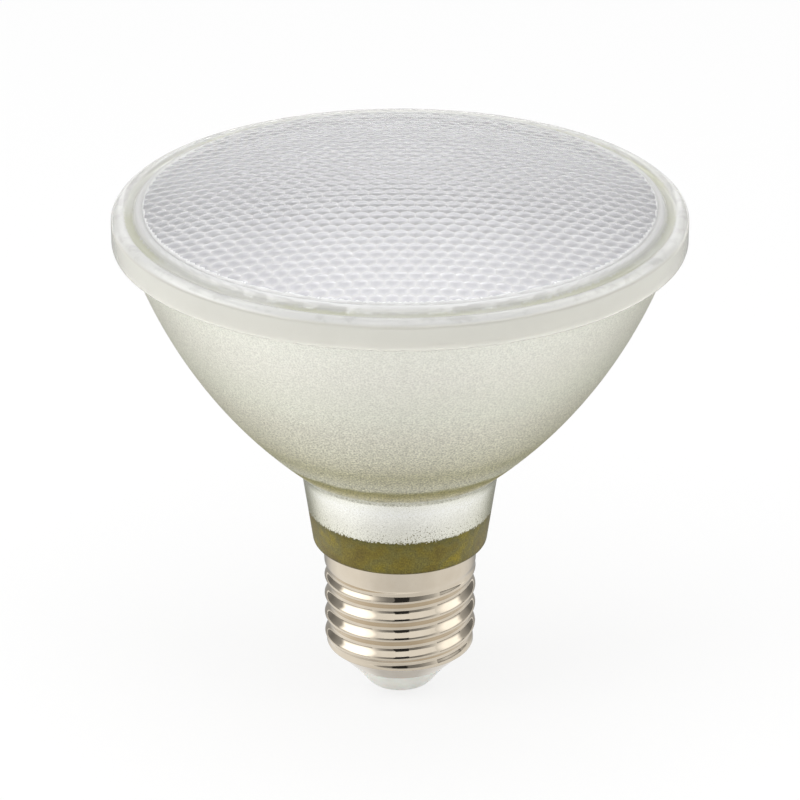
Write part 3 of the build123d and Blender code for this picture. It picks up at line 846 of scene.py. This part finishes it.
PILLOWS, RIM, UNDERSIDE, BEAD_TOP = range(4)
for face in bm.faces:
    middle = face.calc_center_median() / MM
    radius = math.hypot(middle.x, middle.y)
    on_rim = radius > PATTERN_RADIUS - PATTERN_MARGIN
    if on_rim and radius < BEAD_FOOT_RADIUS and middle.z > BEAD_FOOT_HEIGHT:
        face.material_index = BEAD_TOP
    elif on_rim:
        face.material_index = RIM
    elif face.normal.z < 0:
        face.material_index = UNDERSIDE
    else:
        face.material_index = PILLOWS


def attribute(tree, name):
    """A value that the mesh keeps at each point."""
    node = tree.nodes.new("ShaderNodeAttribute")
    node.attribute_name = name
    return node.outputs["Fac"]


def pressed_glass(name, clearness, roughness):
    """Clear glass with a milky share and a slightly wavy surface."""
    finish, tree, shader, place = new_finish(
        name, {"Roughness": roughness, "Transmission Weight": clearness, "IOR": 1.5}
    )
    relief(tree, shader, grain(tree, place, 1.4, 2.0), 0.012)
    return finish, tree, shader, place


def along_section(stops):
    """Stops by the number of the ring, as shares of the whole section."""
    return [(number / len(lens_rings), colour) for number, colour in stops]


pillow_glass, tree, shader, place = pressed_glass("pillow_glass", 0.66, 0.03)
# Painted shade in the pillows' middles and a painted highlight net on their borders
tree.links.new(shades(tree, attribute(tree, "border_share"), PILLOW_PAINTED_NET), shader.inputs["Base Color"])

bead_glass, tree, shader, place = pressed_glass("bead_glass", 0.4, 0.05)
# The bead's tone, with painted light along its inner edge
bead_painted_shading = shades(tree, attribute(tree, "section_share"), along_section(BEAD_TONE_AND_PAINTED_SHADE))
tree.links.new(bead_painted_shading, shader.inputs["Base Color"])

rim_glass, tree, shader, place = pressed_glass("rim_glass", 0.56, 0.05)
section = attribute(tree, "section_share")
ragged_section = worked_out(
    tree, "ADD", section, spread(tree, grain(tree, place, 0.7, 2.0), 0.25, 0.75, -0.02, 0.02)
)
# The rim's tone, with the painted dark line at the shoulder's edge and the skirt's painted warm tone
rim_colour_with_painted_shade = shades(tree, section, along_section(RIM_TONE_AND_PAINTED_SHADE))
rim_colour_with_painted_shade = blended(
    tree,
    "MULTIPLY",
    spread(tree, grain(tree, place, 14.0, 1.0), 0.38, 0.58, 0.25, 1.0),
    rim_colour_with_painted_shade,
    shades(tree, ragged_section, along_section(GROOVE_GLUE_TINTS)),
)
rim_colour_with_painted_shade = blended(
    tree,
    "MULTIPLY",
    spread(tree, grain(tree, place, 2.6, 3.0), 0.46, 0.6, 0.0, 0.7),
    rim_colour_with_painted_shade,
    shades(tree, ragged_section, along_section(SHOULDER_SMEAR_TINTS)),
)
tree.links.new(rim_colour_with_painted_shade, shader.inputs["Base Color"])

underside_glass, tree, shader, place = pressed_glass("inner_glass", 1.0, 0.0)
lumps(tree, shader, place, 8.0, 2.0, UNDERSIDE_TINTS)
make_piece(
    bm,
    "pebbled_lens",
    "front_lens",
    "lens_glass",
    pillow_glass,
    rim_glass,
    underside_glass,
    bead_glass,
)


# Floor, light and camera: a white floor under a wide soft light, seen from the front and above.
# Cloths round the bulb show only in its polished pieces: dark in front, bright at both sides and
# in a small box at the back, and grey on the floor, with a painted shadow of the bulb in a small
# ring right under it. Stage lengths are in metres.
FLOOR_SIZE = 4.0
FLOOR_HEIGHT = -0.0002
FLOOR_COLOUR = (0.86, 0.86, 0.86, 1)
FLOOR_GLOW = 0.8
WORLD_LIGHT = 0.75
BRIGHTEST = 4.0
CLOTH_STEPS = 72
WALL_DISTANCE = 0.95
FRONT_WALL_TOP = (WALL_DISTANCE, 0.66)
SIDE_WALL_TOP = (WALL_DISTANCE, 1.1)
WALL_FOOT = (WALL_DISTANCE, 0.0)
SIDE_FOOT_LIGHT = 0.1
SIDE_FOOT_HEIGHT = 0.4
STRIP_FOOT = (0.93, 0.0)
STRIP_TOP = (0.93, 0.78)
BACK_BOX_FOOT = (0.9, 0.62)
BACK_BOX_TOP = (0.9, 0.74)
SHADE_HEIGHT = 0.0005
# Light on each cloth by the angle from the camera's side, in degrees
WALL_LIGHT = [
    (-180, 0.9), (-165, 0.8), (-150, 0.28), (-128, 0.2), (-106, 0.4), (-98, 2.1), (-66, 2.1), (-54, 1.7),
    (-44, 0.9), (-34, 0.45), (-22, 0.24), (0, 0.17), (26, 0.24), (46, 0.5), (60, 0.9), (74, 1.5),
    (98, 1.6), (106, 0.5), (128, 0.18), (150, 0.25), (165, 0.8), (180, 0.9),
]
STRIP_LIGHT = [(-180, 0.03), (180, 0.03)]
BACK_BOX_LIGHT = [(-180, 3.4), (180, 3.4)]
FRONT_SHADE = [
    (-115, 0.85), (-100, 1.0), (-60, 1.0), (-30, 0.82), (0, 0.74), (30, 0.8), (60, 0.88), (100, 0.88),
    (115, 0.8),
]
BACK_SHADE = [(-180, 0.35), (-140, 0.4), (-115, 0.85), (115, 0.8), (140, 0.4), (180, 0.35)]
# A painted shadow of the bulb on the floor right under it, darkest in front, seen only in the polished
# pieces
FOOT_PAINTED_SHADOW = [(-180, 0.85), (-70, 0.85), (-35, 0.6), (35, 0.6), (70, 0.8), (180, 0.85)]
SOFT_BOXES = [
    # Name, width and height, power, angle from the camera's side, height above the level, distance
    ("top_light", (0.9, 0.9), 3.8, 0, 80, 0.92),
    ("left_light", (0.35, 0.6), 1.95, -70, 20, 0.7),
    ("right_light", (0.35, 0.6), 1.04, 70, 20, 0.7),
]
LIGHT_AIM_HEIGHT = 0.04
CAMERA_PLACE = (0.0, -0.59065, 0.32611)
CAMERA_TILT = math.radians(65.306)
CAMERA_LENS = 172.225
CAMERA_SENSOR = 36


def path_to_background(tree):
    """1 for the rays that show the background: from the camera, off metal and through glass."""
    path = tree.nodes.new("ShaderNodeLightPath")
    found = path.outputs["Is Camera Ray"]
    for kind in ("Is Glossy Ray", "Is Transmission Ray"):
        found = worked_out(tree, "MAXIMUM", found, path.outputs[kind])
    return found


def mixed_surface(tree, share, first, second):
    """Makes a material's surface of two shaders."""
    mix = tree.nodes.new("ShaderNodeMixShader")
    tree.links.new(share, mix.inputs["Fac"])
    tree.links.new(first, mix.inputs[1])
    tree.links.new(second, mix.inputs[2])
    tree.links.new(mix.outputs["Shader"], tree.nodes["Material Output"].inputs["Surface"])


floor_white, tree, shader, place = new_finish(
    "floor_white", {"Base Color": FLOOR_COLOUR, "Roughness": 0.9, "Specular IOR Level": 0.0}
)
glow = tree.nodes.new("ShaderNodeEmission")
glow.inputs["Color"].default_value = (1, 1, 1, 1)
glow_share = worked_out(tree, "MULTIPLY", path_to_background(tree), FLOOR_GLOW)
mixed_surface(tree, glow_share, shader.outputs["BSDF"], glow.outputs["Emission"])
bm = bmesh.new()
bmesh.ops.create_grid(
    bm, x_segments=1, y_segments=1, size=FLOOR_SIZE / 2, matrix=Matrix.Translation((0, 0, FLOOR_HEIGHT))
)
piece = placed(bm, "floor", floor_white)


def mirrored_cloth(name, stops, foot_light=1.0, foot_height=0.1):
    """A cloth whose brightness changes with the angle from the camera's side, in degrees.

    Polished surfaces mirror it, but it gives no light and doesn't show through the glass.
    """
    cloth, tree, shader, place = new_finish(name, {})
    split = tree.nodes.new("ShaderNodeSeparateXYZ")
    tree.links.new(place, split.inputs["Vector"])
    towards_camera = worked_out(tree, "MULTIPLY", split.outputs["Y"], -1.0)
    angle = worked_out(tree, "ARCTAN2", split.outputs["X"], towards_camera)
    glow = tree.nodes.new("ShaderNodeEmission")
    points = []
    for degrees, light in stops:
        level = light / BRIGHTEST
        points.append(((degrees + 180) / 360, (level, level, level, 1)))
    tree.links.new(
        ramp(tree, spread(tree, angle, -math.pi, math.pi, 0.0, 1.0), points), glow.inputs["Color"]
    )
    tree.links.new(
        spread(tree, split.outputs["Z"], 0.0, foot_height, foot_light * BRIGHTEST, BRIGHTEST),
        glow.inputs["Strength"],
    )
    clear = tree.nodes.new("ShaderNodeBsdfTransparent")
    path = tree.nodes.new("ShaderNodeLightPath")
    mixed_surface(
        tree, path.outputs["Transmission Depth"], glow.outputs["Emission"], clear.outputs["BSDF"]
    )
    return cloth


def hung(name, near, far, start, end, cloth):
    """A cloth turned round the bulb between two angles, from a near to a far distance and height."""
    bm = bmesh.new()
    ends = [bm.verts.new((0, -distance, height)) for distance, height in (near, far)]
    bm.edges.new(ends)
    bmesh.ops.rotate(
        bm, cent=(0, 0, 0), matrix=Matrix.Rotation(math.radians(start), 3, "Z"), verts=bm.verts[:]
    )
    bmesh.ops.spin(
        bm,
        geom=bm.verts[:] + bm.edges[:],
        cent=(0, 0, 0),
        axis=(0, 0, 1),
        angle=math.radians(end - start),
        steps=CLOTH_STEPS,
    )
    piece = placed(bm, name, cloth)
    piece.visible_camera = False
    piece.visible_shadow = False
    piece.visible_diffuse = False


wall_cloth = mirrored_cloth("wall_cloth", WALL_LIGHT)
side_cloth = mirrored_cloth("side_cloth", WALL_LIGHT, SIDE_FOOT_LIGHT, SIDE_FOOT_HEIGHT)
strip_cloth = mirrored_cloth("strip_cloth", STRIP_LIGHT)
shade_cloth = mirrored_cloth("shade_cloth", FRONT_SHADE)
back_cloth = mirrored_cloth("back_cloth", BACK_SHADE)
painted_shadow_cloth = mirrored_cloth("painted_shadow_cloth", FOOT_PAINTED_SHADOW)
box_cloth = mirrored_cloth("box_cloth", BACK_BOX_LIGHT)
hung("front_wall", WALL_FOOT, FRONT_WALL_TOP, -45, 58, wall_cloth)
hung("left_wall", WALL_FOOT, SIDE_WALL_TOP, -105, -45, side_cloth)
hung("right_wall", WALL_FOOT, SIDE_WALL_TOP, 58, 105, side_cloth)
hung("back_wall", WALL_FOOT, SIDE_WALL_TOP, 105, 255, wall_cloth)
hung("camera_strip", STRIP_FOOT, STRIP_TOP, -11.5, 11.5, strip_cloth)
hung("front_shade", (0.02, SHADE_HEIGHT), (0.25, SHADE_HEIGHT), -115, 115, shade_cloth)
hung("back_shade", (0.02, SHADE_HEIGHT), (0.35, SHADE_HEIGHT), 115, 245, back_cloth)
# The painted shadow of the bulb, right under it
hung("painted_shadow_ring", (0.003, SHADE_HEIGHT), (0.017, SHADE_HEIGHT), -180, 180, painted_shadow_cloth)
hung("back_box", BACK_BOX_FOOT, BACK_BOX_TOP, 172, 188, box_cloth)

world = bpy.data.worlds.new("studio")
bpy.context.scene.world = world
world.use_nodes = True
tree = world.node_tree
background = tree.nodes["Background"]
background.inputs["Color"].default_value = (1, 1, 1, 1)
tree.links.new(
    spread(tree, path_to_background(tree), 0.0, 1.0, WORLD_LIGHT, 1.0), background.inputs["Strength"]
)

for name, (width, height), power, turn, elevation, distance in SOFT_BOXES:
    lamp = bpy.data.lights.new(name, "AREA")
    lamp.shape = "RECTANGLE"
    lamp.size = width
    lamp.size_y = height
    lamp.energy = power
    light = bpy.data.objects.new(name, lamp)
    light.matrix_world = (
        Matrix.Translation((0, 0, LIGHT_AIM_HEIGHT))
        @ Matrix.Rotation(math.radians(turn), 4, "Z")
        @ Matrix.Rotation(-math.radians(elevation), 4, "X")
        @ Matrix.Translation((0, -distance, 0))
        @ Matrix.Rotation(math.radians(90), 4, "X")
    )
    light.visible_glossy = False
    light.visible_transmission = False
    bpy.context.collection.objects.link(light)

camera_data = bpy.data.cameras.new("camera")
camera_data.lens = CAMERA_LENS
camera_data.sensor_width = CAMERA_SENSOR
camera = bpy.data.objects.new("camera", camera_data)
camera.location = CAMERA_PLACE
camera.rotation_euler = (CAMERA_TILT, 0, 0)
bpy.context.collection.objects.link(camera)
bpy.context.scene.camera = camera
bpy.context.scene.view_settings.view_transform = "Standard"
